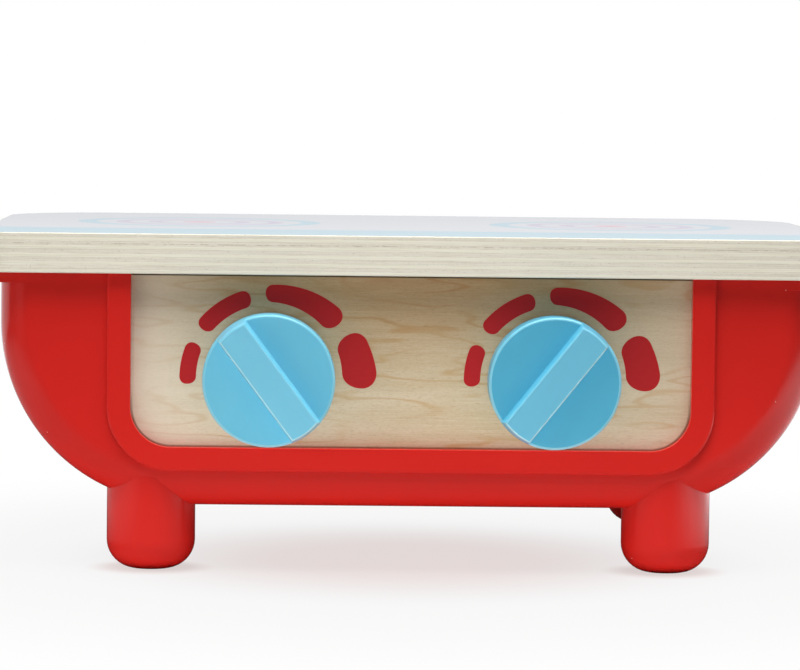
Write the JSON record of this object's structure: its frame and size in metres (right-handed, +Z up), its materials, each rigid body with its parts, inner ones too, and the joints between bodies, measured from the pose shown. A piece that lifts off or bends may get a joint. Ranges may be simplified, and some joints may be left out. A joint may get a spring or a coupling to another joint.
{
  "type": "tabletop toy stove",
  "caption": "Toddler's tabletop play stove: plywood hob board on a moulded plastic tub with feet, and clicking knobs on a plywood control panel.",
  "frame": {"origin": "middle of the assembly's box at the height of the table it stands on", "axes": "+Z up, the front with the knobs faces -Y, +X to the right as seen from the front"},
  "size_m": [0.328, 0.236, 0.1275],
  "materials": {
    "printed_plywood": "birch plywood, sanded edge, printed and lacquered top",
    "red_plastic": "glossy moulded ABS",
    "panel_plywood": "birch plywood, clear lacquer, printed marks",
    "blue_plastic": "satin moulded ABS",
    "nylon": "natural moulded nylon",
    "plated_steel": "zinc-plated steel"
  },
  "bodies": {
    "stove": {"hob_board": "printed_plywood", "tub_shell": "red_plastic", "front_panel": "panel_plywood", "panel_bush_left": "nylon", "panel_bush_right": "nylon", "click_spring_left": "nylon", "click_spring_right": "nylon", "spring_screws_left": "plated_steel", "spring_screws_right": "plated_steel", "panel_screws": "plated_steel", "hob_screws": "plated_steel"},
    "left_control": {"knob_left": "blue_plastic", "click_wheel_left": "nylon", "knob_washer_left": "plated_steel", "knob_screw_left": "plated_steel"},
    "right_control": {"knob_right": "blue_plastic", "click_wheel_right": "nylon", "knob_washer_right": "plated_steel", "knob_screw_right": "plated_steel"}
  },
  "joints": [
    {"name": "knob_left_turn", "type": "hinge", "parent": "stove", "child": "left_control", "pos_m": [-0.0533, -0.0965, 0.0734], "axis": [0, 1, 0], "continuous": true, "deforming": ["click_spring_left"]},
    {"name": "knob_right_turn", "type": "hinge", "parent": "stove", "child": "right_control", "pos_m": [0.0533, -0.0965, 0.0734], "axis": [0, 1, 0], "continuous": true, "deforming": ["click_spring_right"]}
  ]
}
